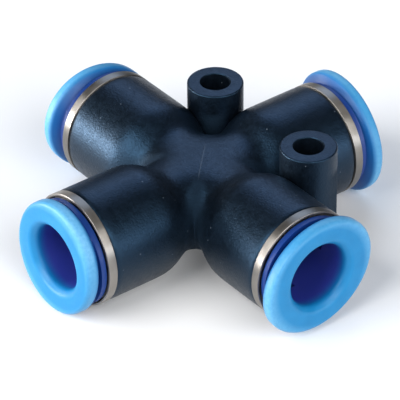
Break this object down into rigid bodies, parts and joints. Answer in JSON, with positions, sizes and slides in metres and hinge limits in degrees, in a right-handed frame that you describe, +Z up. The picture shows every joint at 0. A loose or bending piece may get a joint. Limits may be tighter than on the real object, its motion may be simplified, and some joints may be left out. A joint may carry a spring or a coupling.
{
  "type": "cross fitting",
  "caption": "Push-in cross fitting for 8 mm tube, with a swivelling, pressable release sleeve in each arm and upright screw bosses beside the hub.",
  "frame": {"origin": "where the axes of the four ports cross, at half height", "axes": "+X and +Y along the east and north ports, +Z up along the bosses, both bosses on the +Y side"},
  "size_m": [0.0456, 0.0456, 0.0156],
  "materials": {
    "black_plastic": "moulded, satin",
    "nitrile_rubber": "matte",
    "white_plastic": "moulded",
    "spring_steel": "stamped",
    "plated_brass": "turned, nickel plated, satin",
    "blue_plastic": "moulded, semi-gloss"
  },
  "bodies": {
    "fitting": {"housing": "black_plastic", "seal_ring_east": "nitrile_rubber", "seal_ring_north": "nitrile_rubber", "seal_ring_west": "nitrile_rubber", "seal_ring_south": "nitrile_rubber", "support_ring_east": "white_plastic", "support_ring_north": "white_plastic", "support_ring_west": "white_plastic", "support_ring_south": "white_plastic", "guide_ring_east": "plated_brass", "guide_ring_north": "plated_brass", "guide_ring_west": "plated_brass", "guide_ring_south": "plated_brass"},
    "claw_east": {"lock_claw_east": "spring_steel"},
    "sleeve_east": {"release_sleeve_east": "blue_plastic"},
    "claw_north": {"lock_claw_north": "spring_steel"},
    "sleeve_north": {"release_sleeve_north": "blue_plastic"},
    "claw_west": {"lock_claw_west": "spring_steel"},
    "sleeve_west": {"release_sleeve_west": "blue_plastic"},
    "claw_south": {"lock_claw_south": "spring_steel"},
    "sleeve_south": {"release_sleeve_south": "blue_plastic"}
  },
  "joints": [
    {"name": "swivel_east", "type": "hinge", "parent": "fitting", "child": "claw_east", "pos_m": [0, 0, 0], "axis": [1, 0, 0], "continuous": true},
    {"name": "press_east", "type": "slide", "parent": "claw_east", "child": "sleeve_east", "axis": [-1, 0, 0], "range_m": [0, 0.0008], "stiffness_N_per_m": 2000, "springref_m": -0.001},
    {"name": "swivel_north", "type": "hinge", "parent": "fitting", "child": "claw_north", "pos_m": [0, 0, 0], "axis": [0, 1, 0], "continuous": true},
    {"name": "press_north", "type": "slide", "parent": "claw_north", "child": "sleeve_north", "axis": [0, -1, 0], "range_m": [0, 0.0008], "stiffness_N_per_m": 2000, "springref_m": -0.001},
    {"name": "swivel_west", "type": "hinge", "parent": "fitting", "child": "claw_west", "pos_m": [0, 0, 0], "axis": [-1, 0, 0], "continuous": true},
    {"name": "press_west", "type": "slide", "parent": "claw_west", "child": "sleeve_west", "axis": [1, 0, 0], "range_m": [0, 0.0008], "stiffness_N_per_m": 2000, "springref_m": -0.001},
    {"name": "swivel_south", "type": "hinge", "parent": "fitting", "child": "claw_south", "pos_m": [0, 0, 0], "axis": [0, -1, 0], "continuous": true},
    {"name": "press_south", "type": "slide", "parent": "claw_south", "child": "sleeve_south", "axis": [0, 1, 0], "range_m": [0, 0.0008], "stiffness_N_per_m": 2000, "springref_m": -0.001}
  ]
}
